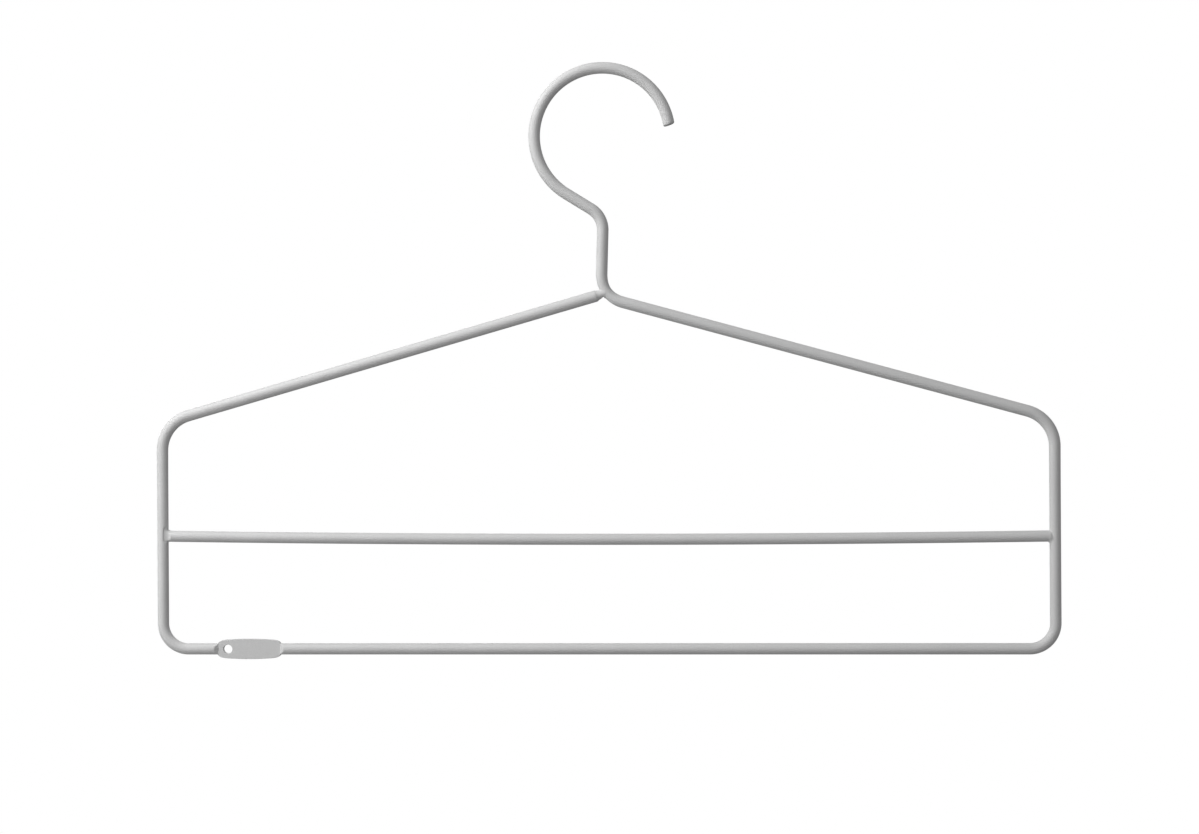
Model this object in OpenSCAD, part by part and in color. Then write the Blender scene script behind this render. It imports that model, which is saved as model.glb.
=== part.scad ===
// Trouser hanger bent from one round steel wire, with a straight bar welded across its frame.
// The hanger stands in the XZ plane, +Z up, and its front faces -Y.
// The origin is the hook seat: the underside of the hook's crown, where the hanger rests.

/* [Frame wire] */
// Diameter of the frame wire
wire_d = 5.5; // [4:0.1:7]
// Width of the frame over its two sides
overall_w = 430; // [360:1:480]
// Height of a side, from the bottom bar's centre line to the corner of the shoulder
side_h = 108.3; // [90:0.1:140]
// Rise of the shoulders from their corners to the foot of the neck
shoulder_rise = 59; // [40:0.1:80]
// Inside radius of the two shoulder corners
shoulder_bend = 14.5; // [8:0.5:20]
// Inside radius of the two bottom corners
bottom_bend = 9.5; // [6:0.5:20]

/* [Hook and neck] */
// Inside radius of the hook, which leaves room for a rail
hook_inner_r = 29.5; // [25:0.5:40]
// Where the hook's bend stops, in degrees above the level of the hook's centre
tip_angle = 9; // [-10:1:40]
// Rounding of the edge of the hook's cut end
tip_round = 0.9; // [0.3:0.1:1.5]
// Slope of the wire between hook and neck, in degrees
sweep_angle = 32; // [26:1:40]
// Inside radius of the bend between the sloping wire and the neck
sweep_bend = 9; // [5:0.5:10]
// Height of the neck, from corner to corner of its two bends
neck_len = 38; // [34:0.5:60]
// How far the top of the neck stands to the right of the hook's middle
neck_shift = 0.4; // [0:0.1:1]
// How far the foot of the neck stands to the left of its top
neck_lean = 1.2; // [0:0.1:2]
// Inside radius of the bend from the neck into the right shoulder
neck_bend = 11.3; // [5:0.1:14]

/* [Left shoulder end] */
// How much higher the left shoulder aims at the neck than the right one
butt_raise = 0.9; // [0:0.1:2]
// Gap between the cut end of the left shoulder and the neck, which the weld fills
butt_gap = 2; // [1.2:0.1:2.6]

/* [Trouser bar] */
// Diameter of the trouser bar
bar_d = 5.3; // [4:0.1:6]
// Mean height of the trouser bar's ends above the bottom bar, centre to centre
bar_h = 53.5; // [35:0.5:62]
// How far the middle of the trouser bar hangs below its ends
bar_bow = 1.5; // [0.5:0.1:4]
// How much higher the trouser bar's left end sits than its right end
bar_tilt = 1.1; // [0:0.1:3]
// Gap between each end of the trouser bar and its side wire, which the weld fills
bar_gap = 0.3; // [0.2:0.1:0.6]

/* [Welds] */
// How far the neck weld laps onto the front and back of the neck
neck_weld_lap = 1.2; // [0.6:0.1:2]
// Rounding of the neck weld's two rims
neck_weld_round = 0.6; // [0.4:0.1:0.8]
// Height of the left bar weld on the side wire
left_weld_h = 8.8; // [7:0.1:12]
// How far the left bar weld reaches along the bar from the side wire
left_weld_reach = 1.6; // [0.8:0.1:3]
// Height of the right bar weld on the side wire
right_weld_h = 7.2; // [7:0.1:12]
// How far the right bar weld reaches along the bar from the side wire
right_weld_reach = 0.8; // [0.5:0.1:3]
// How far the welds stand proud of the wires that they wrap
weld_proud = 0.3; // [0.25:0.05:0.6]
// Thickness of a bar weld where it ends on the bar
weld_lip = 0.15; // [0.1:0.05:0.2]

/* [Pressed flat] */
// Distance from the left side's centre line to the middle of the flat
flat_x = 41.7; // [40:0.1:120]
// Length of the flat between the feet of its ramps
flat_len = 29.8; // [22:0.2:36]
// Greatest width of the flat
flat_w = 9.8; // [8.6:0.1:12]
// Thickness of the flat
flat_t = 2.5; // [1.5:0.1:3]
// Length of the ramp from the flat up to the round wire
ramp_len = 1.9; // [1:0.1:3]
// Radius of the two long edges of the flat
flat_edge_r = 106; // [80:1:200]
// How much smaller the radius of the flat's round ends is than half its width
flat_end_less = 0.6; // [0.4:0.1:0.8]
// Diameter of the hole through the flat
hole_d = 4.2; // [3:0.1:4.4]
// Distance from the flat's left end to the centre of the hole
hole_inset = 4.6; // [4.2:0.1:8]

/* [Hidden] */
coat = [0.79, 0.79, 0.79];
weld_coat = [0.76, 0.76, 0.76];
// Facets round the wire, and along the long arcs: the hook, the bowed bar and the flat's edges
wire_fn = 64;
hook_fn = 192;
bow_steps = 24;
edge_fn = 720;
$fn = wire_fn;
// How far a cutting solid runs past the surface that it cuts
past = 1;
// Bending leaves the wire this much fatter, and the straight runs lodge this deep in the bends
bend_swell = 0.01;
bend_lap = 0.2;

wire_r = wire_d / 2;
bent_r = wire_r + bend_swell;
bar_r = bar_d / 2;
hook_r = hook_inner_r + wire_r;
side_x = overall_w / 2 - wire_r;

// Corners of the wire's centre line, as [x, z]
hook_centre = [0, -hook_inner_r];
hook_foot = hook_centre - hook_r * [sin(sweep_angle), cos(sweep_angle)];
neck_top = hook_centre - [0, hook_r / cos(sweep_angle)] + neck_shift * [1, -tan(sweep_angle)];
neck_foot = neck_top - [neck_lean, neck_len];
corner_z = neck_foot.y - shoulder_rise;
bottom_z = corner_z - side_h;
right_corner = [side_x, corner_z];
right_bottom = [side_x, bottom_z];
left_bottom = [-side_x, bottom_z];
left_corner = [-side_x, corner_z];

// The left shoulder runs toward the neck and stops short of the outside of the neck's lower bend
neck_bend_r = neck_bend + wire_r;
neck_bend_centre = arc_centre(neck_top, neck_foot, right_corner, neck_bend_r);
butt_way = heading(left_corner, neck_foot + [0, butt_raise]);
butt_dir = [cos(butt_way), sin(butt_way)];
to_centre = neck_bend_centre - left_corner;
off_centre = cross(butt_dir, to_centre);
butt_reach = butt_dir * to_centre - sqrt(pow(neck_bend_r + wire_r, 2) - pow(off_centre, 2));
butt_end = left_corner + (butt_reach - butt_gap) * butt_dir;

// The wire's route from the foot of the hook to the cut end, and the inside radius of each bend
route = [hook_foot, neck_top, neck_foot, right_corner, right_bottom, left_bottom, left_corner, butt_end];
bends = [0, sweep_bend, neck_bend, shoulder_bend, bottom_bend, bottom_bend, shoulder_bend, 0];
last = len(route) - 1;
// Places in the route
neck_corner = 2;
right_side = 3;
bottom_run = 4;
left_side = 5;
left_shoulder = 6;

// The trouser bar is a shallow arc between the two sides
bar_z = bottom_z + bar_h;
bar_half = side_x - wire_r - bar_gap;
bow_r = (bar_half * bar_half + bar_bow * bar_bow) / (2 * bar_bow);
bow_angle = 2 * asin(bar_half / bow_r);
tilt_angle = asin(bar_tilt / (2 * bar_half));
left_bar_end = [-side_x, bar_z + bar_tilt / 2];
right_bar_end = [side_x, bar_z - bar_tilt / 2];

flat_mid = [flat_x - side_x, bottom_z];
flat_end_r = flat_w / 2 - flat_end_less;
// The round ends run out into the wire a quarter of the way up the ramps
flat_end_x = flat_len / 2 + ramp_len / 4 - sqrt(flat_end_r * flat_end_r - wire_r * wire_r);

function heading(a, b) = atan2(b.y - a.y, b.x - a.x);
function toward(a, b, distance) = a + distance * (b - a) / norm(b - a);
function wrapped(angle) = angle > 180 ? angle - 360 : angle <= -180 ? angle + 360 : angle;
function left_of(way) = [-sin(way), cos(way)];

// Turn of the wire at a corner b on its way from a to c, and where an arc of radius r starts and centres
function turn_at(a, b, c) = wrapped(heading(b, c) - heading(a, b));
function arc_start(a, b, c, r) = toward(b, a, r * tan(abs(turn_at(a, b, c)) / 2));
function arc_centre(a, b, c, r) = arc_start(a, b, c, r) + sign(turn_at(a, b, c)) * r * left_of(heading(a, b));

// The same at corner i of the route
function turn(i) = turn_at(route[i - 1], route[i], route[i + 1]);
function bend_r(i) = bends[i] + wire_r;
function set_back(i) = i == 0 || i == last ? 0 : bend_r(i) * tan(abs(turn(i)) / 2);

// Stands a shape drawn in the XY plane up in the XZ plane, with its top to the front
module stood_up() {
    rotate([90, 0, 0]) children();
}

module ring_piece(ring_r, r, angle) {
    rotate_extrude(angle = angle) translate([ring_r, 0]) circle(r);
}

// Straight run of the wire from corner i to corner i + 1, lodged in the bends at its ends
module run(i) {
    start = toward(route[i], route[i + 1], set_back(i) - bend_lap);
    end = toward(route[i + 1], route[i], i + 1 == last ? 0 : set_back(i + 1) - bend_lap);
    translate(start) rotate(heading(start, end)) rotate([0, 90, 0])
        cylinder(h = norm(end - start), r = wire_r);
}

// Bend of the wire at corner i
module bend(i) {
    way = heading(route[i - 1], route[i]);
    centre = arc_centre(route[i - 1], route[i], route[i + 1], bend_r(i));
    first_angle = way - sign(turn(i)) * 90 + min(turn(i), 0);
    translate(centre) rotate(first_angle) ring_piece(bend_r(i), bent_r, abs(turn(i)));
}

// Cut end of a wire with its edge rounded over
module rounded_end(r, edge) {
    rotate_extrude() {
        square([r - edge, edge]);
        intersection() {
            translate([r - edge, 0]) circle(edge);
            square([r, edge]);
        }
    }
}

module hook() {
    translate(hook_centre) rotate(tip_angle) {
        ring_piece(hook_r, bent_r, 270 - sweep_angle - tip_angle, $fn = hook_fn);
        translate([hook_r, 0]) rotate([90, 0, 0]) rounded_end(bent_r, tip_round);
    }
}

// Outline of the flat: long edges bowed outwards, and round ends
module flat_outline() {
    intersection() {
        translate([0, flat_edge_r - flat_w / 2]) circle(flat_edge_r, $fn = edge_fn);
        translate([0, flat_w / 2 - flat_edge_r]) circle(flat_edge_r, $fn = edge_fn);
        union() {
            square([2 * flat_end_x, 2 * flat_w], center = true);
            for (side = [-1, 1]) translate([side * flat_end_x, 0]) circle(flat_end_r);
        }
    }
}

// What the press takes off one face of the round wire: a floor between two ramps
module press_mark() {
    foot = flat_len / 2;
    rise = wire_r - flat_t / 2;
    far = ramp_len * (rise + past) / rise;
    floor_z = flat_t / 2;
    top_z = wire_r + past;
    rotate([90, 0, 0]) linear_extrude(wire_d + 2 * past, center = true)
        polygon([[-foot, floor_z], [foot, floor_z], [foot + far, top_z], [-foot - far, top_z]]);
}

// Bottom bar, with the length of it that is pressed flat and pierced
module bottom_bar() {
    difference() {
        union() {
            difference() {
                run(bottom_run);
                for (face = [0, 180]) translate(flat_mid) rotate([face, 0, 0]) press_mark();
            }
            translate(flat_mid) linear_extrude(flat_t, center = true) flat_outline();
        }
        translate(flat_mid + [hole_inset - flat_len / 2, 0])
            cylinder(h = flat_t + 2 * past, d = hole_d, center = true);
    }
}

module frame_wire() {
    color(coat) stood_up() {
        hook();
        for (i = [1 : last - 1]) bend(i);
        for (i = [0 : last - 1]) if (i != bottom_run) run(i);
        bottom_bar();
    }
}

// Bar with square-cut ends
module bowed_bar() {
    translate([0, bar_z]) rotate(-tilt_angle) translate([0, bow_r - bar_bow]) rotate(-90 - bow_angle / 2)
        rotate_extrude(angle = bow_angle, $fn = ceil(bow_steps * 360 / bow_angle))
            translate([bow_r, 0]) circle(bar_r, $fn = wire_fn);
}

module trouser_bar() {
    color(coat) stood_up() bowed_bar();
}

// Collar of weld metal between the cut end of the left shoulder and the neck, hollowed by the neck
module neck_weld() {
    collar_r = wire_r + weld_proud;
    length = butt_gap + neck_weld_lap;
    color(weld_coat) stood_up() difference() {
        translate(butt_end) rotate(butt_way) rotate([0, 90, 0]) rotate_extrude() {
            square([collar_r - neck_weld_round, length]);
            translate([0, neck_weld_round]) square([collar_r, length - 2 * neck_weld_round]);
            for (rim = [neck_weld_round, length - neck_weld_round])
                translate([collar_r - neck_weld_round, rim]) circle(neck_weld_round);
        }
        bend(neck_corner);
    }
}

// Bead round an end of the bar at the origin, which flares onto a side wire along Y
module bar_bead(height, reach) {
    flare = height / 2 - bar_r - weld_lip;
    length = wire_r + reach;
    wrap = bar_r + weld_proud;
    intersection() {
        rotate([0, 90, 0]) rotate_extrude() difference() {
            square([height / 2, length]);
            translate([height / 2, length]) circle(flare);
        }
        rotate([90, 0, 0]) linear_extrude(height + 2 * past, center = true) {
            circle(wire_r + weld_proud);
            translate([0, -wrap]) square([length + past, 2 * wrap]);
        }
    }
}

module left_bar_weld() {
    color(weld_coat) stood_up() difference() {
        translate(left_bar_end) bar_bead(left_weld_h, left_weld_reach);
        run(left_side);
        bowed_bar();
    }
}

module right_bar_weld() {
    color(weld_coat) stood_up() difference() {
        translate(right_bar_end) mirror([1, 0, 0]) bar_bead(right_weld_h, right_weld_reach);
        run(right_side);
        bowed_bar();
    }
}

frame_wire();
trouser_bar();
neck_weld();
left_bar_weld();
right_bar_weld();
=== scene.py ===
import math
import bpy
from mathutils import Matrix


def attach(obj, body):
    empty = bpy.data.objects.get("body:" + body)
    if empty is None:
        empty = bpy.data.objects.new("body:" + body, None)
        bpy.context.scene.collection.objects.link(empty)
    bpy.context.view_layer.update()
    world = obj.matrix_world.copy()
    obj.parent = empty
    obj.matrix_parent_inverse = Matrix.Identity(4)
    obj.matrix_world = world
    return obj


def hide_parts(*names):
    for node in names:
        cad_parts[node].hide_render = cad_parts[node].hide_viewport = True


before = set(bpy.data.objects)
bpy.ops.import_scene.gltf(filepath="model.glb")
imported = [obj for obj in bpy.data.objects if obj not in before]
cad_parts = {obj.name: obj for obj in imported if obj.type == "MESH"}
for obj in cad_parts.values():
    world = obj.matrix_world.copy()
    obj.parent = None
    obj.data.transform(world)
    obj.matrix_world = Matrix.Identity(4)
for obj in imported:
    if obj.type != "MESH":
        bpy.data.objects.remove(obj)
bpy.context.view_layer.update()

from types import SimpleNamespace

import bpy
from mathutils import Matrix, Vector

# Sizes are in millimetres, and points of the hanger's plane are (x, z), until they reach Blender
MM = 0.001

# Sizes that are the same in the part's source
WIRE_R = 2.75
SIDE_X = 212.25
HOOK_CENTRE = (0.0, -29.5)
HOOK_R = 32.25
TIP_ANGLE = 9.0
TIP_ROUND = 0.9
SWEEP_ANGLE = 32.0
SWEEP_BEND_R = 11.75
NECK_LEN = 38.0
NECK_SHIFT = 0.4
NECK_LEAN = 1.2
NECK_BEND_R = 14.05
SHOULDER_RISE = 59.0
SHOULDER_BEND_R = 17.25
SIDE_H = 108.3
BOTTOM_BEND_R = 12.25
BUTT_RAISE = 0.9
BUTT_GAP = 2.0
BAR_R = 2.65
BAR_H = 53.5
BAR_BOW = 1.5
BAR_TILT = 1.1
BAR_GAP = 0.3
FLAT_FROM_SIDE = 41.7
FLAT_LEN = 29.8
FLAT_T = 2.5
RAMP_LEN = 1.9
FLAT_END_LESS = 0.6
HOLE_R = 2.1
HOLE_INSET = 4.6

# Sizes that follow the real hanger more closely than the source does
FLAT_W = 9.7
FLAT_EDGE_R = 150.0
HOLE_RIM = 0.4
TIP_SLANT = 0.16
BUTT_ROUND = 1.4
NECK_RISE = 0.12
# The sides and the bottom came out a little thinner than the wire above them
LOWER_R = 2.68
LOWER_FROM = 6.0
LOWER_BLEND = 20.0
# The bending left the wire thinner, and further out, in the middle of the neck's tight bend
NECK_THINNING = 0.09
NECK_OUTWARD = 0.25
# The left end of the trouser bar is squeezed under its weld
BAR_SQUEEZE = 0.17
BAR_SQUEEZE_TO = 1.4
BAR_SQUEEZE_BLEND = 0.8

# Spacing of the rings that the wires are made of
HOOK_STEPS = 230
ARC_STEP = math.radians(2.5)
RUN_STEP = 5.0
BAR_STEP = 3.5
BAR_END_STEP = 0.15
BAR_END_LEN = 2.4
FLAT_STEP = 0.3
RAMP_STEP = 0.1
RAMP_INNER = 0.4
RAMP_OUTER = 1.0
DENT_STEP = 0.16
DENT_RINGS_BELOW = 4.5
DENT_RINGS_ABOVE = 6.5
TIP_STEPS = 8
BUTT_STEPS = 10

# Walls of the dent beside the left weld, as shares of its size, and its run-out toward the bar
DENT_WALL_FROM = 0.78
DENT_WALL_TO = 1.08
DENT_OUT_FROM = -1.3
DENT_OUT_TO = -0.2
# Length over which the slant of the hook's tip grows
TIP_SLANT_LEN = 7.0
# Punch for the hole, and how far round its rim it flares
PUNCH_SIDES = 96
PUNCH_RINGS = 120
PUNCH_LEN = 6.0
FLARE_LIMIT = 0.88

# Fineness of the weld beads, and a host bend so wide that the wire counts as straight
VOXEL = 0.1
FAR = 1500.0
RIPPLE_SCALE = 750.0
# Where every bead thins out, as a share of its size, and by how much
THIN_TO = 1.10
THIN_DEPTH = 0.5
END_SINK_FROM = 0.7
# Roundness of a press mark's edge and of a belly's
MARK_BLEND = 0.6
BELLY_BLEND = 0.8
# How much thinner, and further out on its bend, a host counts than its wire's full size
LEFT_HOST_LESS = 0.28
NECK_HOST_LESS = 0.22
NECK_HOST_OUT = 0.2
NECK_CORE_LESS = 0.38


# Node trees

class Tree:
    """Adds nodes to a node tree. A value for a socket is a constant or another node's output."""

    def __init__(self, tree):
        self.tree = tree

    def put(self, kind, values=None, **settings):
        node = self.tree.nodes.new(kind)
        for name, setting in settings.items():
            setattr(node, name, setting)
        for key, value in (values or {}).items():
            if isinstance(value, bpy.types.NodeSocket):
                self.tree.links.new(value, node.inputs[key])
            else:
                node.inputs[key].default_value = value
        return node

    def link(self, output, socket):
        self.tree.links.new(output, socket)

    def calc(self, operation, *values):
        return self.put("ShaderNodeMath", dict(enumerate(values)), operation=operation).outputs[0]

    def total(self, first, *rest):
        for value in rest:
            first = self.calc("ADD", first, value)
        return first

    def minus(self, value):
        return self.calc("MULTIPLY", value, -1.0)

    def hypot(self, *parts):
        squares = [self.calc("MULTIPLY", part, part) for part in parts]
        return self.calc("SQRT", self.total(*squares))

    def smooth_step(self, value, low, high, from_value, to_value):
        return self.put("ShaderNodeMapRange", {0: value, 1: low, 2: high, 3: from_value, 4: to_value},
                        interpolation_type="SMOOTHSTEP").outputs[0]

    def soft_limit(self, value, limit, crease):
        """The value while it is well inside the limit, and the limit beyond it, with a rounded crease."""
        share = self.calc("DIVIDE", self.calc("ABSOLUTE", value), limit)
        near = self.calc("POWER", self.calc("ADD", self.calc("POWER", share, crease), 1.0),
                         self.calc("DIVIDE", -1.0, crease))
        return self.calc("MULTIPLY", value, near)

    def vector(self, operation, *values, out="Vector"):
        return self.put("ShaderNodeVectorMath", dict(enumerate(values)), operation=operation).outputs[out]

    def scaled(self, vector, factor):
        return self.put("ShaderNodeVectorMath", {0: vector, "Scale": factor}, operation="SCALE").outputs[0]

    def join_xyz(self, x, y, z):
        return self.put("ShaderNodeCombineXYZ", {0: x, 1: y, 2: z}).outputs[0]

    def split_xyz(self, vector):
        return self.put("ShaderNodeSeparateXYZ", {0: vector}).outputs

    def position(self):
        return self.put("GeometryNodeInputPosition").outputs[0]

    def move(self, geometry, **values):
        named = {name.capitalize(): value for name, value in values.items()}
        return self.put("GeometryNodeSetPosition", {"Geometry": geometry, **named}).outputs[0]

    def outness(self, along, across, above, below, reach, wrap):
        """How far out of a joint a place is, where 1 is the edge of a box with rounded corners: so high
        above and below the end wire's axis, reaching along that wire and wrapping over its host.
        The second output is the share of the wrap."""
        sides = [(across, above), (self.minus(across), below), (along, reach), (self.minus(along), wrap)]
        shares = [self.calc("DIVIDE", self.calc("MAXIMUM", side, 0.0), size) for side, size in sides]
        fourths = [self.calc("POWER", share, 4.0) for share in shares]
        return self.calc("POWER", self.total(*fourths), 0.25), shares[3]


def new_tree(name, inputs):
    """Geometry tree with named inputs, each (name, socket kind, value)."""
    group = bpy.data.node_groups.new(name, "GeometryNodeTree")
    group.interface.new_socket("Geometry", in_out="OUTPUT", socket_type="NodeSocketGeometry")
    group.interface.new_socket("Geometry", in_out="INPUT", socket_type="NodeSocketGeometry")
    for label, kind, value in inputs:
        socket = group.interface.new_socket(label, in_out="INPUT", socket_type="NodeSocket" + kind)
        if value is not None:
            socket.default_value = value
    tree = Tree(group)
    tree.given = tree.put("NodeGroupInput").outputs
    return tree


def end_tree(tree, geometry):
    real = tree.put("GeometryNodeRealizeInstances", {"Geometry": geometry}).outputs[0]
    coated = tree.put("GeometryNodeSetMaterial", {"Geometry": real, "Material": tree.given["Material"]})
    tree.put("NodeGroupOutput", {0: coated.outputs[0]})


def made_by(tree, name, source_mesh, values):
    """Plain mesh object that the tree makes from a source mesh with the named inputs set."""
    maker = bpy.data.objects.new(name + "_maker", source_mesh)
    bpy.context.scene.collection.objects.link(maker)
    modifier = maker.modifiers.new("make", "NODES")
    modifier.node_group = tree.tree
    for item in tree.tree.interface.items_tree:
        if item.in_out == "INPUT" and item.name in values:
            modifier[item.identifier] = values[item.name]
    bpy.context.view_layer.update()
    depsgraph = bpy.context.evaluated_depsgraph_get()
    mesh = bpy.data.meshes.new_from_object(maker.evaluated_get(depsgraph))
    mesh.name = name
    bpy.data.objects.remove(maker)
    piece = bpy.data.objects.new(name, mesh)
    bpy.context.scene.collection.objects.link(piece)
    return piece


def value_of(point):
    """Value of a vector input for a point or a size of the hanger's plane."""
    return (point.x * MM, 0.0, point.y * MM)


# Finishes

COAT_COLOUR = (0.58, 0.58, 0.58)
COAT_ROUGHNESS = 0.55
GRAIN_SCALE = 2600.0
PEEL_SCALE = 700.0
CLOUD_SCALE = 45.0
GRAIN_TINT = 0.26
CLOUD_TINT = 0.10
GRAIN_GLOSS = 0.12
RELIEF_DEPTH = 0.012


def powder_coat(name):
    """Matt powder coat: a fine grain in colour, gloss and relief over a faint orange peel."""
    material = bpy.data.materials.new(name)
    material.use_nodes = True
    shader = material.node_tree.nodes["Principled BSDF"]
    tree = Tree(material.node_tree)
    place = tree.put("ShaderNodeTexCoord").outputs["Object"]

    def noise(scale, detail):
        node = tree.put("ShaderNodeTexNoise", {"Vector": place, "Scale": scale, "Detail": detail})
        return node.outputs["Fac"]

    grain = noise(GRAIN_SCALE, 2.0)
    peel = noise(PEEL_SCALE, 2.0)
    cloud = noise(CLOUD_SCALE, 3.0)
    spread = tree.total(
        tree.calc("MULTIPLY", tree.calc("SUBTRACT", grain, 0.5), GRAIN_TINT),
        tree.calc("MULTIPLY", tree.calc("SUBTRACT", cloud, 0.5), CLOUD_TINT),
        1.0)
    # From black at 0 to the plain colour at 1 and a little brighter beyond
    tint = tree.put("ShaderNodeMix", {0: spread, 6: (0.0, 0.0, 0.0, 1.0), 7: (*COAT_COLOUR, 1.0)},
                    data_type="RGBA", clamp_factor=False)
    tree.link(tint.outputs[2], shader.inputs["Base Color"])
    gloss = tree.calc("MULTIPLY_ADD", grain, GRAIN_GLOSS, COAT_ROUGHNESS - GRAIN_GLOSS / 2)
    tree.link(gloss, shader.inputs["Roughness"])
    relief = tree.total(tree.calc("MULTIPLY", peel, 0.8), tree.calc("MULTIPLY", grain, 0.2))
    bump = tree.put("ShaderNodeBump", {"Height": relief, "Strength": 0.3, "Distance": RELIEF_DEPTH * MM})
    tree.link(bump.outputs[0], shader.inputs["Normal"])
    return material


coat = powder_coat("grey_powder_coat")
weld_coat = powder_coat("grey_powder_coat_on_welds")


# Routes

def arc_at(before, corner, after, radius):
    """Start, centre and turn of the bend that rounds a corner."""
    arrive = (corner - before).normalized()
    leave = (after - corner).normalized()
    turn = arrive.angle_signed(leave) * -1
    start = corner - radius * math.tan(abs(turn) / 2) * arrive
    centre = start + math.copysign(radius, turn) * Vector((-arrive.y, arrive.x))
    return start, centre, turn


def add_run(points, end):
    start = points[-1]
    count = max(1, math.ceil((end - start).length / RUN_STEP))
    points += [start + (end - start) * i / count for i in range(1, count + 1)]


def bent_route(corners, radii):
    """Points of a centre line with a bend of the given radius at each corner."""
    points = [corners[0]]
    for before, corner, after, radius in zip(corners, corners[1:], corners[2:], radii):
        start, centre, turn = arc_at(before, corner, after, radius)
        add_run(points, start)
        steps = math.ceil(abs(turn) / ARC_STEP)
        for i in range(1, steps + 1):
            spin = Matrix.Rotation(turn * i / steps, 2)
            points.append(centre + spin @ (start - centre))
    add_run(points, corners[-1])
    return points


def spaced(first, last, step):
    count = round(abs(last - first) / step)
    return [first + (last - first) * i / count for i in range(count + 1)]


def round_off(points, swells, radius, edge, steps):
    """Rounds the edge of the cut end at a route's last point. A swell is a ring's share of the radius."""
    end, way = points[-1], (points[-1] - points[-2]).normalized()
    while (points[-1] - end).length < edge * 1.01:
        points.pop()
        swells.pop()
    for i in range(steps + 1):
        a = math.pi / 2 * i / steps
        points.append(end - way * edge * (1 - math.sin(a)))
        swells.append((radius - edge + edge * math.cos(a)) / radius)
    return points, swells


def round_both(points, radius, first, last):
    """Route and swells with both cut ends rounded, the first and the last, each by (edge, steps)."""
    points, swells = round_off(points, [1.0] * len(points), radius, *last)
    points, swells = round_off(points[::-1], swells[::-1], radius, *first)
    return points[::-1], swells[::-1]


def route_mesh(name, points, swells):
    mesh = bpy.data.meshes.new(name)
    mesh.from_pydata([value_of(p) for p in points], [(i, i + 1) for i in range(len(points) - 1)], [])
    mesh.attributes.new("swell", "FLOAT", "POINT").data.foreach_set("value", swells)
    return mesh


def frame_spots():
    """Corners, ends and joints of the hanger's centre lines."""
    spots = SimpleNamespace()
    sweep = math.radians(SWEEP_ANGLE)
    below_hook = Vector(HOOK_CENTRE) - Vector((0, HOOK_R / math.cos(sweep)))
    spots.neck_top = below_hook + NECK_SHIFT * Vector((1, -math.tan(sweep)))
    spots.neck_foot = spots.neck_top - Vector((NECK_LEAN, NECK_LEN))
    spots.corner_z = spots.neck_foot.y - SHOULDER_RISE
    spots.left_corner = Vector((-SIDE_X, spots.corner_z))
    spots.right_corner = Vector((SIDE_X, spots.corner_z))
    spots.bottom_z = spots.corner_z - SIDE_H
    spots.flat_x = FLAT_FROM_SIDE - SIDE_X
    spots.flat_mid = Vector((spots.flat_x, spots.bottom_z))
    spots.bar_z = spots.flat_mid.y + BAR_H
    spots.left_joint = Vector((WIRE_R - SIDE_X, spots.bar_z + BAR_TILT / 2))
    spots.right_joint = Vector((SIDE_X - WIRE_R, spots.bar_z - BAR_TILT / 2))
    _, spots.neck_centre, spots.neck_turn = arc_at(
        spots.neck_top, spots.neck_foot, spots.right_corner, NECK_BEND_R)
    # The left shoulder aims at the neck, and its cut end stops short of the neck's bend
    spots.butt_way = (spots.neck_foot + Vector((0, BUTT_RAISE)) - spots.left_corner).normalized()
    to_centre = spots.neck_centre - spots.left_corner
    off = spots.butt_way.x * to_centre.y - spots.butt_way.y * to_centre.x
    reach = spots.butt_way.dot(to_centre) - math.sqrt((NECK_BEND_R + WIRE_R) ** 2 - off * off)
    spots.butt_end = spots.left_corner + (reach - BUTT_GAP) * spots.butt_way
    return spots


def rings_along_flat(points, flat_x, bottom_z):
    """Route with its points close together along the pressed flat, and closest at its ramps."""
    foot = FLAT_LEN / 2
    near = foot + RAMP_LEN + RAMP_OUTER
    kept = [p for p in points if abs(p.x - flat_x) > near + 1.0 or p.y > bottom_z + 1.0]
    at = max(i for i, p in enumerate(kept) if abs(p.y - bottom_z) < 0.01 and p.x > flat_x)
    ramp = spaced(near, foot - RAMP_INNER, RAMP_STEP)
    floor = spaced(foot - RAMP_INNER, RAMP_INNER - foot, FLAT_STEP)
    across = ramp + floor[1:] + [-u for u in ramp[::-1]][1:]
    return kept[:at + 1] + [Vector((flat_x + u, bottom_z)) for u in across] + kept[at + 1:]


def rings_at_dent(points, joint_z):
    """Route with its points close together where the left bar weld dents the side wire."""
    low, high = joint_z - DENT_RINGS_BELOW, joint_z + DENT_RINGS_ABOVE
    side = 1.0 - SIDE_X
    at = next(i for i, p in enumerate(points) if p.x < side and p.y > low)
    kept = [p for p in points if not (p.x < side and low < p.y < high)]
    return kept[:at] + [Vector((-SIDE_X, z)) for z in spaced(low, high, DENT_STEP)] + kept[at:]


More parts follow.
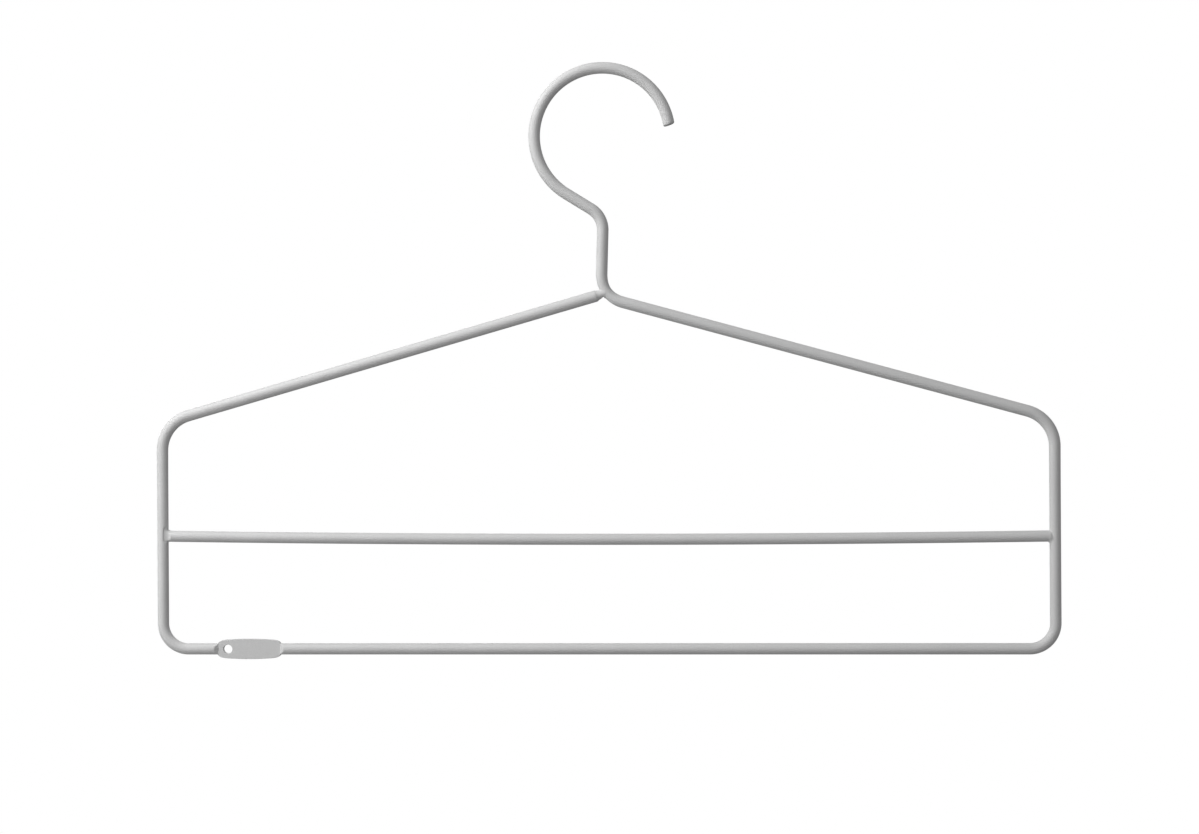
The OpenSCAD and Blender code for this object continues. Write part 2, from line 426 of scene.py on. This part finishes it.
def frame_route(spots):
    """The whole frame wire, from the hook's tip to the cut end of the left shoulder."""
    first, last = math.radians(TIP_ANGLE), math.radians(270 - SWEEP_ANGLE)
    hook = []
    for i in range(HOOK_STEPS + 1):
        a = first + (last - first) * i / HOOK_STEPS
        hook.append(Vector(HOOK_CENTRE) + HOOK_R * Vector((math.cos(a), math.sin(a))))
    corners = [hook[-1], spots.neck_top, spots.neck_foot, spots.right_corner,
               Vector((SIDE_X, spots.bottom_z)), Vector((-SIDE_X, spots.bottom_z)),
               spots.left_corner, spots.butt_end]
    radii = [SWEEP_BEND_R, NECK_BEND_R, SHOULDER_BEND_R, BOTTOM_BEND_R, BOTTOM_BEND_R, SHOULDER_BEND_R]
    points = hook + bent_route(corners, radii)[1:]
    points = rings_along_flat(points, spots.flat_x, spots.bottom_z)
    points = rings_at_dent(points, spots.bottom_z + BAR_H + BAR_TILT / 2)
    points, swells = round_both(points, WIRE_R, (TIP_ROUND, TIP_STEPS), (BUTT_ROUND, BUTT_STEPS))
    middle = (spots.neck_foot - spots.neck_centre).normalized()
    for i, point in enumerate(points):
        lower = min(max((spots.corner_z - LOWER_FROM - point.y) / LOWER_BLEND, 0), 1)
        swells[i] *= 1 + (WIRE_R / LOWER_R - 1) * (1 - lower)
        spoke = point - spots.neck_centre
        if abs(spoke.length - NECK_BEND_R) < 0.01:
            share = math.cos(middle.angle(spoke) / abs(spots.neck_turn) * math.pi) ** 2
            points[i] = point + NECK_OUTWARD * share * spoke.normalized()
            swells[i] *= 1 - NECK_THINNING * share
    return points, swells


def bar_route(spots):
    """The trouser bar, from right to left, bowed downwards and tilted."""
    half = SIDE_X - WIRE_R - BAR_GAP
    radius = (half * half + BAR_BOW * BAR_BOW) / (2 * BAR_BOW)
    tilt = Matrix.Rotation(-math.asin(BAR_TILT / (2 * half)), 2)
    left_end = spaced(-half, BAR_END_LEN - half, BAR_END_STEP)
    points = []
    for x in left_end + spaced(BAR_END_LEN - half, half, BAR_STEP)[1:]:
        dip = radius - BAR_BOW - math.sqrt(radius * radius - x * x)
        points.append(Vector((0, spots.bar_z)) + tilt @ Vector((x, dip)))
    cut = (TIP_ROUND, TIP_STEPS)
    points, swells = round_both(points[::-1], BAR_R, cut, cut)
    for i, point in enumerate(points):
        share = min(max((BAR_SQUEEZE_TO - half - point.x) / BAR_SQUEEZE_BLEND, 0), 1)
        swells[i] *= 1 - BAR_SQUEEZE * share * share * (3 - 2 * share)
    return points, swells


# Wires

def swept_wire(tree):
    given = tree.given
    curve = tree.put("GeometryNodeMeshToCurve", {0: given["Geometry"]}).outputs[0]
    swell = tree.put("GeometryNodeInputNamedAttribute", {"Name": "swell"}, data_type="FLOAT").outputs[0]
    ring = tree.put("GeometryNodeCurvePrimitiveCircle",
                    {"Resolution": given["Sides"], "Radius": given["Wire radius"]}).outputs[0]
    return tree.put("GeometryNodeCurveToMesh",
                    {"Curve": curve, "Profile Curve": ring, "Scale": swell, "Fill Caps": True}).outputs[0]


def press_flat(tree, wire):
    """Presses one length of the wire flat, with bowed long edges, round ends and a ramp at each end."""
    given = tree.given
    x, y, z = tree.split_xyz(tree.position())
    mid = tree.split_xyz(given["Flat middle"])
    radius = given["Wire radius"]
    along = tree.calc("ABSOLUTE", tree.calc("SUBTRACT", x, mid[0]))
    rise = tree.calc("SUBTRACT", z, mid[2])
    past_foot = tree.calc("MAXIMUM", tree.calc("SUBTRACT", along, given["Flat half length"]), 0.0)
    floor_t = given["Flat half thickness"]
    slope = tree.calc("DIVIDE", tree.calc("SUBTRACT", radius, floor_t), given["Ramp length"])
    half_t = tree.calc("MULTIPLY_ADD", past_foot, slope, floor_t)
    edge_drop = tree.calc("SUBTRACT", given["Edge radius"], tree.calc("SQRT", tree.calc(
        "SUBTRACT", tree.calc("POWER", given["Edge radius"], 2.0), tree.calc("POWER", along, 2.0))))
    edge = tree.calc("SUBTRACT", given["Flat half width"], edge_drop)
    in_end = tree.calc("MAXIMUM", tree.calc("SUBTRACT", along, given["End centre"]), 0.0)
    end = tree.calc("SQRT", tree.calc("MAXIMUM", tree.calc(
        "SUBTRACT", tree.calc("POWER", given["End radius"], 2.0), tree.calc("POWER", in_end, 2.0)), 0.0))
    # Between the round ends only the long edges count
    end = tree.total(end, tree.calc("MULTIPLY", tree.calc("LESS_THAN", in_end, 1e-9), 0.01))
    outline = tree.calc("SMOOTH_MIN", edge, end, 0.2 * MM)
    half_w = tree.calc("MAXIMUM", outline, radius)
    # The press squeezes the wire's front and back to the floor, and its round section into a square one
    new_y = tree.soft_limit(y, half_t, given["Crease"])
    thin = tree.calc("MINIMUM", tree.calc("DIVIDE", half_t, radius), 0.97)
    floor_w = tree.calc("MULTIPLY", radius, tree.calc("SQRT", tree.calc(
        "SUBTRACT", 1.0, tree.calc("POWER", thin, 2.0))))
    widened = tree.calc("MULTIPLY", rise, half_w)
    square_z = tree.soft_limit(tree.calc("DIVIDE", widened, floor_w), half_w, given["Crease"])
    round_z = tree.calc("DIVIDE", widened, radius)
    spread = tree.smooth_step(half_w, radius, tree.calc("MULTIPLY", radius, 1.3), 0.0, 1.0)
    squared = tree.calc("MULTIPLY", spread, tree.calc("SUBTRACT", square_z, round_z))
    new_z = tree.total(mid[2], round_z, squared)
    span = tree.total(given["Flat half length"], given["Ramp length"], 0.6 * MM)
    on_bottom = tree.calc("LESS_THAN", tree.calc("ABSOLUTE", rise), 4.0 * MM)
    near = tree.calc("MULTIPLY", tree.calc("LESS_THAN", along, span), on_bottom)
    return tree.move(wire, selection=tree.calc("MULTIPLY", near, given["Pressed"]),
                     position=tree.join_xyz(x, new_y, new_z))


def dent_side(tree, wire):
    """Dent that the welding left in the side wire: its walls are steep and its floor follows the wire."""
    given = tree.given
    dx, _, dz = tree.split_xyz(tree.vector("SUBTRACT", tree.position(), given["Dent joint"]))
    never = 10.0 * MM
    far_out, _ = tree.outness(dx, dz, given["Dent above"], given["Dent below"], never, given["Dent wrap"])
    # It runs out before the edge that faces the bar, so that the wire's outline stays straight
    wall = tree.smooth_step(far_out, DENT_WALL_FROM, DENT_WALL_TO, given["Dent depth"], 0.0)
    run_out = tree.smooth_step(dx, DENT_OUT_FROM * MM, DENT_OUT_TO * MM, 1.0, 0.0)
    sink = tree.calc("MULTIPLY", wall, run_out)
    near = tree.calc("MULTIPLY", tree.calc("LESS_THAN", far_out, 1.1),
                     tree.calc("LESS_THAN", tree.calc("ABSOLUTE", dx), 6.0 * MM))
    normal = tree.put("GeometryNodeInputNormal").outputs[0]
    return tree.move(wire, selection=near, offset=tree.scaled(normal, tree.minus(sink)))


def slant_tip(tree, wire):
    """Slanted cut of the hook's tip: the side toward the inside of the hook stands out more."""
    given = tree.given
    off_tip = tree.vector("SUBTRACT", tree.position(), given["Tip"])
    way_x, _, way_z = tree.split_xyz(given["Tip way"])
    beside = tree.join_xyz(way_z, 0.0, tree.minus(way_x))
    sideways = tree.vector("DOT_PRODUCT", off_tip, beside, out="Value")
    back = tree.vector("DOT_PRODUCT", off_tip, given["Tip way"], out="Value")
    near = tree.calc("LESS_THAN", tree.vector("LENGTH", off_tip, out="Value"), 9.0 * MM)
    outward = tree.calc("MULTIPLY", given["Tip slant"], tree.calc("ADD", sideways, given["Wire radius"]))
    outward = tree.calc("MULTIPLY", outward, tree.smooth_step(back, -TIP_SLANT_LEN * MM, 0.0, 0.0, 1.0))
    return tree.move(wire, selection=near, offset=tree.scaled(given["Tip way"], outward))


def pierce(tree, wire):
    """Hole through the flat. The punch widens toward its ends, which rounds the hole's two rims."""
    given = tree.given
    punch = tree.put("GeometryNodeMeshCylinder", {
        "Vertices": PUNCH_SIDES, "Side Segments": PUNCH_RINGS,
        "Radius": given["Hole radius"], "Depth": PUNCH_LEN * MM}, fill_type="NGON").outputs[0]
    punch = tree.put("GeometryNodeTransform", {
        "Geometry": punch, "Rotation": (math.pi / 2, 0, 0)}).outputs[0]
    x, y, z = tree.split_xyz(tree.position())
    rim = given["Rim"]
    over = tree.total(tree.calc("ABSOLUTE", y), rim, tree.minus(given["Flat half thickness"]))
    over = tree.calc("MINIMUM", tree.calc("MAXIMUM", tree.calc("DIVIDE", over, rim), 0.0), FLARE_LIMIT)
    lift = tree.calc("SUBTRACT", 1.0, tree.calc("SQRT", tree.calc(
        "SUBTRACT", 1.0, tree.calc("POWER", over, 2.0))))
    flare = tree.calc("MULTIPLY_ADD", lift, tree.calc("DIVIDE", rim, given["Hole radius"]), 1.0)
    punch = tree.move(punch, position=tree.join_xyz(
        tree.calc("MULTIPLY", x, flare), y, tree.calc("MULTIPLY", z, flare)))
    punch = tree.put("GeometryNodeTransform", {
        "Geometry": punch, "Translation": given["Hole place"]}).outputs[0]
    return tree.put("GeometryNodeMeshBoolean", {0: wire, 1: punch},
                    operation="DIFFERENCE", solver="EXACT").outputs[0]


def wire_tree():
    """Round wire swept along a route. A pressed one has a pierced flat, a dent and a slanted tip."""
    tree = new_tree("bent_wire", [
        ("Wire radius", "Float", 2.75 * MM),
        ("Sides", "Int", 96),
        ("Pressed", "Bool", False),
        ("Flat middle", "Vector", None),
        ("Flat half length", "Float", 0.0),
        ("Flat half width", "Float", 0.0),
        ("Flat half thickness", "Float", 0.0),
        ("Ramp length", "Float", 1.0 * MM),
        ("Edge radius", "Float", 100.0 * MM),
        ("End radius", "Float", 4.0 * MM),
        ("End centre", "Float", 10.0 * MM),
        ("Crease", "Float", 24.0),
        ("Dent joint", "Vector", None),
        ("Dent depth", "Float", 0.0),
        ("Dent above", "Float", 5.0 * MM),
        ("Dent below", "Float", 3.0 * MM),
        ("Dent wrap", "Float", 2.0 * MM),
        ("Tip", "Vector", None),
        ("Tip way", "Vector", None),
        ("Tip slant", "Float", 0.0),
        ("Hole radius", "Float", 2.0 * MM),
        ("Rim", "Float", 0.4 * MM),
        ("Hole place", "Vector", None),
        ("Material", "Material", None),
    ])
    wire = swept_wire(tree)
    worked = pierce(tree, slant_tip(tree, dent_side(tree, press_flat(tree, wire))))
    shape = tree.put("GeometryNodeSwitch", {
        "Switch": tree.given["Pressed"], "False": wire, "True": worked}, input_type="GEOMETRY").outputs[0]
    smooth = tree.put("GeometryNodeSetShadeSmooth", {"Geometry": shape, "Shade Smooth": True}).outputs[0]
    angle = tree.put("GeometryNodeInputMeshEdgeAngle").outputs["Unsigned Angle"]
    sharp = tree.calc("GREATER_THAN", angle, math.radians(25))
    crisp = tree.put("GeometryNodeSetShadeSmooth", {
        "Geometry": smooth, "Selection": sharp, "Shade Smooth": False}, domain="EDGE").outputs[0]
    end_tree(tree, crisp)
    return tree


# Welds

def host_and_end(tree, depth, along, across):
    """Signed distances to the host wire, and to the end wire with the weld metal round its cut end."""
    given = tree.given
    host_x, _, host_z = tree.split_xyz(tree.vector("SUBTRACT", tree.position(), given["Host centre"]))
    off_host = tree.calc("SUBTRACT", tree.hypot(host_x, host_z), given["Host bend"])
    host_wire = tree.calc("SUBTRACT", tree.hypot(off_host, depth), given["Host radius"])
    core = tree.calc("MAXIMUM", tree.calc("SUBTRACT", tree.hypot(across, depth), given["Core radius"]),
                     tree.minus(tree.total(along, given["Host radius"])))
    # The cut end is a cylinder whose edge is rounded over
    edge = given["Cut edge"]
    sunk = tree.total(tree.hypot(tree.calc("ADD", across, given["Rise"]), depth),
                      tree.minus(given["End radius"]), edge)
    behind = tree.total(tree.minus(along), given["Gap"], edge)
    end_wire = tree.total(
        tree.hypot(tree.calc("MAXIMUM", sunk, 0.0), tree.calc("MAXIMUM", behind, 0.0)),
        tree.calc("MINIMUM", tree.calc("MAXIMUM", sunk, behind), 0.0), tree.minus(edge))
    return host_wire, tree.calc("SMOOTH_MIN", core, end_wire, given["Seam fillet"])


def weld_tree():
    """Bead of weld metal where the cut end of one wire meets the side of another, its host.

    The two wires' surfaces are melted together, raised or lowered a little near the joint, and sunk
    into the wires away from it. The host's centre line is an arc in the hanger's plane."""
    tree = new_tree("weld_bead", [
        ("Joint", "Vector", None),
        ("End way", "Vector", None),
        ("End radius", "Float", 2.7 * MM),
        ("Core radius", "Float", 1.5 * MM),
        ("Rise", "Float", 0.0),
        ("Gap", "Float", 0.3 * MM),
        ("Cut edge", "Float", 0.3 * MM),
        ("Seam fillet", "Float", 0.1 * MM),
        ("Host centre", "Vector", None),
        ("Host bend", "Float", 1.0),
        ("Host radius", "Float", 2.75 * MM),
        ("Fillet above", "Float", 1.0 * MM),
        ("Fillet below", "Float", 1.0 * MM),
        ("Height above", "Float", 4.0 * MM),
        ("Height below", "Float", 4.0 * MM),
        ("Reach", "Float", 1.5 * MM),
        ("Wrap", "Float", 2.0 * MM),
        ("Lift", "Float", 0.1 * MM),
        ("Edge lift", "Float", 0.2 * MM),
        ("Edge from", "Float", 0.5),
        ("End sink", "Float", -0.1 * MM),
        ("Thin from", "Float", 0.9),
        ("Belly", "Float", 9.0 * MM),
        ("Belly slope", "Float", 0.0),
        ("Press mark", "Float", 9.0 * MM),
        ("Mark on host", "Float", 0.0),
        ("Mark on end", "Float", 0.0),
        ("Ripple", "Float", 0.08 * MM),
        ("Ripple seed", "Float", 0.0),
        ("Half box", "Vector", None),
        ("Voxels X", "Int", 100),
        ("Voxels Y", "Int", 100),
        ("Voxels Z", "Int", 100),
        ("Material", "Material", None),
    ])
    given = tree.given
    place = tree.vector("SUBTRACT", tree.position(), given["Joint"])
    depth = tree.split_xyz(place)[1]
    # Distances along the end wire, away from the host, and upward across it
    way_x, _, way_z = tree.split_xyz(given["End way"])
    along = tree.vector("DOT_PRODUCT", place, given["End way"], out="Value")
    level = tree.calc("SIGN", way_x)
    lean = tree.minus(tree.calc("MULTIPLY", way_z, level))
    upward = tree.join_xyz(lean, 0.0, tree.calc("ABSOLUTE", way_x))
    across = tree.vector("DOT_PRODUCT", place, upward, out="Value")
    host_wire, end_wire = host_and_end(tree, depth, along, across)
    fillet = tree.smooth_step(across, -1.0 * MM, 1.0 * MM, given["Fillet below"], given["Fillet above"])
    melted = tree.calc("SMOOTH_MIN", end_wire, host_wire, fillet)

    far_out, wrapped = tree.outness(
        along, across, given["Height above"], given["Height below"], given["Reach"], given["Wrap"])
    ripple = tree.put("ShaderNodeTexNoise", {
        "Vector": tree.position(), "W": given["Ripple seed"], "Scale": RIPPLE_SCALE, "Detail": 2.0},
        noise_dimensions="4D").outputs[0]
    ripple = tree.calc("MULTIPLY", tree.calc("SUBTRACT", ripple, 0.5), given["Ripple"])
    # Near its edges the bead may sink into the host, thins out, and may rise or sink along the end wire
    lift = tree.total(tree.smooth_step(wrapped, given["Edge from"], 0.9, given["Lift"], given["Edge lift"]),
                      tree.smooth_step(far_out, given["Thin from"], THIN_TO, 0.0, -THIN_DEPTH * MM),
                      tree.smooth_step(along, END_SINK_FROM * MM, given["Reach"], 0.0, given["End sink"]),
                      tree.calc("MULTIPLY", ripple, 2.0))
    skin = tree.calc("SUBTRACT", melted, lift)
    # The welding press may leave a shallow saddle across the front, deepest at the joint
    on_host = tree.calc("POWER", tree.calc("MINIMUM", along, 0.0), 2.0)
    on_end = tree.calc("POWER", tree.calc("MAXIMUM", along, 0.0), 2.0)
    saddle = tree.total(given["Press mark"], tree.calc("MULTIPLY", on_host, given["Mark on host"]),
                        tree.calc("MULTIPLY", on_end, given["Mark on end"]))
    skin = tree.calc("SMOOTH_MAX", skin, tree.minus(tree.total(depth, saddle)), MARK_BLEND * MM)
    # The underside is cut off below the belly, which may slope along the end wire and ends at the host
    floor = tree.total(
        given["Belly"],
        tree.calc("MULTIPLY", tree.calc("MAXIMUM", along, 0.0), given["Belly slope"]),
        tree.calc("MULTIPLY", tree.calc("MAXIMUM", tree.calc("SUBTRACT", -0.3 * MM, along), 0.0), 4.0))
    under = tree.calc("MULTIPLY", tree.total(across, floor), -0.8)
    bound = tree.calc("MULTIPLY", tree.calc("SUBTRACT", far_out, 1.25), 3.0 * MM)
    solid = tree.calc("MAXIMUM", tree.calc("SMOOTH_MAX", skin, under, BELLY_BLEND * MM), bound)

    volume = tree.put("GeometryNodeVolumeCube", {
        "Density": tree.minus(solid), "Background": -1.0 * MM,
        "Min": tree.vector("SUBTRACT", given["Joint"], given["Half box"]),
        "Max": tree.vector("ADD", given["Joint"], given["Half box"]),
        "Resolution X": given["Voxels X"], "Resolution Y": given["Voxels Y"],
        "Resolution Z": given["Voxels Z"]}).outputs[0]
    bead = tree.put("GeometryNodeVolumeToMesh", {"Volume": volume, "Threshold": 0.0}).outputs[0]
    end_tree(tree, tree.put("GeometryNodeSetShadeSmooth", {"Geometry": bead}).outputs[0])
    return tree


# Sizes of a bead that are shares or slopes and not lengths
PLAIN_SIZES = ("thin_from", "edge_from", "belly_slope", "mark_on_host", "mark_on_end", "ripple_seed")


def bead_at(node, joint, end_way, host, half_box, **sizes):
    """Bead in place of a weld node. The host is its bend's centre, its bend radius and its wire radius."""
    host_centre, host_bend, host_radius = host
    values = {key.replace("_", " ").capitalize(): size if key in PLAIN_SIZES else size * MM
              for key, size in sizes.items()}
    values.update({
        "Joint": value_of(joint),
        "End way": (end_way.x, 0.0, end_way.y),
        "Host centre": value_of(host_centre),
        "Host bend": host_bend * MM,
        "Host radius": host_radius * MM,
        "Half box": tuple(side * MM for side in half_box),
        "Material": weld_coat,
    })
    for axis, side in zip("XYZ", half_box):
        values["Voxels " + axis] = round(2 * side / VOXEL)
    bead = made_by(weld_bead, node + "_bead", bpy.data.meshes.new(node + "_seed"), values)
    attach(bead, "root")
    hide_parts(node)


# Pieces

spots = frame_spots()
bent_wire = wire_tree()
weld_bead = weld_tree()

points, swells = frame_route(spots)
tip_way = (points[0] - points[1]).normalized()
end_r = FLAT_W / 2 - FLAT_END_LESS
frame_wire = made_by(bent_wire, "frame_wire_coated", route_mesh("frame_route", points, swells), {
    "Wire radius": LOWER_R * MM,
    "Pressed": True,
    "Flat middle": value_of(spots.flat_mid),
    "Flat half length": FLAT_LEN / 2 * MM,
    "Flat half width": FLAT_W / 2 * MM,
    "Flat half thickness": FLAT_T / 2 * MM,
    "Ramp length": RAMP_LEN * MM,
    "Edge radius": FLAT_EDGE_R * MM,
    "End radius": end_r * MM,
    "End centre": (FLAT_LEN / 2 + RAMP_LEN / 4 - math.sqrt(end_r ** 2 - LOWER_R ** 2)) * MM,
    "Dent joint": value_of(spots.left_joint),
    "Dent depth": 0.35 * MM,
    "Dent above": 4.9 * MM,
    "Dent below": 3.1 * MM,
    "Dent wrap": 2.15 * MM,
    "Tip": value_of(points[0]),
    "Tip way": (tip_way.x, 0.0, tip_way.y),
    "Tip slant": TIP_SLANT,
    "Hole radius": HOLE_R * MM,
    "Rim": HOLE_RIM * MM,
    "Hole place": value_of(spots.flat_mid + Vector((HOLE_INSET - FLAT_LEN / 2, 0))),
    "Material": coat,
})
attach(frame_wire, "root")
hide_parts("frame_wire")

points, swells = bar_route(spots)
trouser_bar = made_by(bent_wire, "trouser_bar_coated", route_mesh("bar_route", points, swells), {
    "Wire radius": BAR_R * MM,
    "Pressed": False,
    "Material": coat,
})
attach(trouser_bar, "root")
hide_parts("trouser_bar")

# The left weld lies in the side wire's dent, so its host counts as thinner
to_far = Vector((WIRE_R + FAR, 0))
bead_at("left_bar_weld", spots.left_joint, Vector((1, 0)),
        (spots.left_joint - to_far, FAR, LOWER_R - LEFT_HOST_LESS), (4.6, 4.0, 7.6),
        end_radius=BAR_R, gap=-1.8, cut_edge=0.5, fillet_above=2.6, fillet_below=1.5,
        height_above=5.0, height_below=3.3, reach=2.4, wrap=2.9,
        lift=0.0, edge_lift=0.0, edge_from=0.85, thin_from=0.8, end_sink=0.0,
        press_mark=1.95, mark_on_host=90.0, mark_on_end=280.0, ripple=0.03, ripple_seed=3.0)
bead_at("right_bar_weld", spots.right_joint, Vector((-1, 0)),
        (spots.right_joint + to_far, FAR, LOWER_R), (4.6, 4.0, 6.0),
        end_radius=BAR_R, gap=-1.3, cut_edge=1.0, fillet_above=0.8, fillet_below=1.9,
        height_above=3.4, height_below=4.4, reach=1.8, wrap=2.6,
        lift=0.0, edge_lift=-0.14, edge_from=0.4, thin_from=0.7, end_sink=-0.05,
        ripple=0.10, ripple_seed=9.0)
# The neck weld's host is the thinned bend, and it sits a little above the left shoulder's axis
neck_joint = spots.butt_end + BUTT_GAP * spots.butt_way
above_axis = NECK_RISE * Vector((-spots.butt_way.y, spots.butt_way.x))
bead_at("neck_weld", neck_joint + above_axis, -spots.butt_way,
        (spots.neck_centre, NECK_BEND_R + NECK_HOST_OUT, WIRE_R - NECK_HOST_LESS), (6.0, 4.0, 6.0),
        end_radius=WIRE_R, rise=NECK_RISE, gap=BUTT_GAP, cut_edge=1.2, core_radius=WIRE_R - NECK_CORE_LESS,
        seam_fillet=0.6, fillet_above=1.0, fillet_below=0.8,
        height_above=5.0, height_below=4.6, reach=4.4, wrap=3.8,
        lift=-0.04, edge_lift=-0.08, end_sink=0.02, thin_from=0.5,
        belly=1.45, belly_slope=0.55, ripple=0.04, ripple_seed=5.0)


# Studio

PHOTO_WIDTH = 1199
SENSOR_WIDTH = 36.0
VIEW_AZIMUTH = 3.928
VIEW_DISTANCE = 1.3
VIEW_TARGET = Vector((-1.89 * MM, 0, -163.01 * MM))
VIEW_ROLL = 0.34
VIEW_SCALE = 2.106191
WORLD_LIGHT = 0.35
LAMP_AIM = Vector((0, 0, -0.15))
FLOOR_REACH = 3.0
FLOOR_Z = -0.6
FLOOR_TONE = 0.32
FLOOR_ROUGHNESS = 0.9
# Share of the glow near the hanger, and the distances over which it grows to 1
FLOOR_GLOW = 0.85
FADE_FROM = 0.9
FADE_TO = 1.5

camera_data = bpy.data.cameras.new("camera")
camera = bpy.data.objects.new("camera", camera_data)
bpy.context.scene.collection.objects.link(camera)
bpy.context.scene.camera = camera
camera_data.sensor_width = SENSOR_WIDTH
camera_data.lens = VIEW_SCALE * VIEW_DISTANCE / MM / PHOTO_WIDTH * SENSOR_WIDTH
turn = math.radians(VIEW_AZIMUTH)
out = Vector((math.sin(turn), -math.cos(turn), 0))
camera.location = VIEW_TARGET + VIEW_DISTANCE * out
facing = out.to_track_quat("Z", "Y").to_matrix()
camera.rotation_euler = (facing @ Matrix.Rotation(-math.radians(VIEW_ROLL), 3, "Z")).to_euler()

# White where the camera sees it, and dimmer as a light
world = bpy.data.worlds.new("studio")
bpy.context.scene.world = world
world.use_nodes = True
world_tree = Tree(world.node_tree)
back = world.node_tree.nodes["Background"]
rays = world_tree.put("ShaderNodeLightPath").outputs
seen = world_tree.calc("MAXIMUM", rays["Is Camera Ray"], rays["Is Transmission Ray"])
strength = world_tree.calc("MULTIPLY_ADD", seen, 1.0 - WORLD_LIGHT, WORLD_LIGHT)
world_tree.link(strength, back.inputs["Strength"])
back.inputs["Color"].default_value = (1, 1, 1, 1)


def soft_lamp(name, place, size, power):
    data = bpy.data.lights.new(name, "AREA")
    data.shape = "DISK"
    data.size = size
    data.energy = power
    lamp = bpy.data.objects.new(name, data)
    bpy.context.scene.collection.objects.link(lamp)
    lamp.location = place
    lamp.rotation_euler = (Vector(place) - LAMP_AIM).to_track_quat("Z", "Y").to_euler()


soft_lamp("key_lamp", (-0.60, -0.35, 0.45), 0.5, 6.5)
soft_lamp("left_lamp", (-1.10, -0.60, -0.50), 0.7, 4.8)
soft_lamp("front_lamp", (-0.20, -1.60, 0.20), 0.8, 3.2)

# The floor glows nearly white where the camera sees it, so that a shadow on it shows only faintly
floor_corners = [(-1, -1), (1, -1), (1, 1), (-1, 1)]
floor_points = [(x * FLOOR_REACH, y * FLOOR_REACH, FLOOR_Z) for x, y in floor_corners]
floor_mesh = bpy.data.meshes.new("floor")
floor_mesh.from_pydata(floor_points, [], [(0, 1, 2, 3)])
floor = bpy.data.objects.new("floor", floor_mesh)
bpy.context.scene.collection.objects.link(floor)
paper = bpy.data.materials.new("white_paper")
paper.use_nodes = True
paper_tree = Tree(paper.node_tree)
paper_shader = paper.node_tree.nodes["Principled BSDF"]
paper_shader.inputs["Base Color"].default_value = (FLOOR_TONE, FLOOR_TONE, FLOOR_TONE, 1)
paper_shader.inputs["Roughness"].default_value = FLOOR_ROUGHNESS
glow = paper_tree.put("ShaderNodeEmission", {"Strength": 1.0})
where = paper_tree.put("ShaderNodeTexCoord").outputs["Object"]
away = paper_tree.vector("LENGTH", where, out="Value")
fade = paper_tree.smooth_step(away, FADE_FROM, FADE_TO, FLOOR_GLOW, 1.0)
share = paper_tree.calc("MULTIPLY", paper_tree.put("ShaderNodeLightPath").outputs["Is Camera Ray"], fade)
mixed = paper_tree.put("ShaderNodeMixShader", {0: share, 1: paper_shader.outputs[0], 2: glow.outputs[0]})
paper_tree.link(mixed.outputs[0], paper.node_tree.nodes["Material Output"].inputs["Surface"])
floor_mesh.materials.append(paper)

bpy.context.scene.view_settings.view_transform = "Standard"
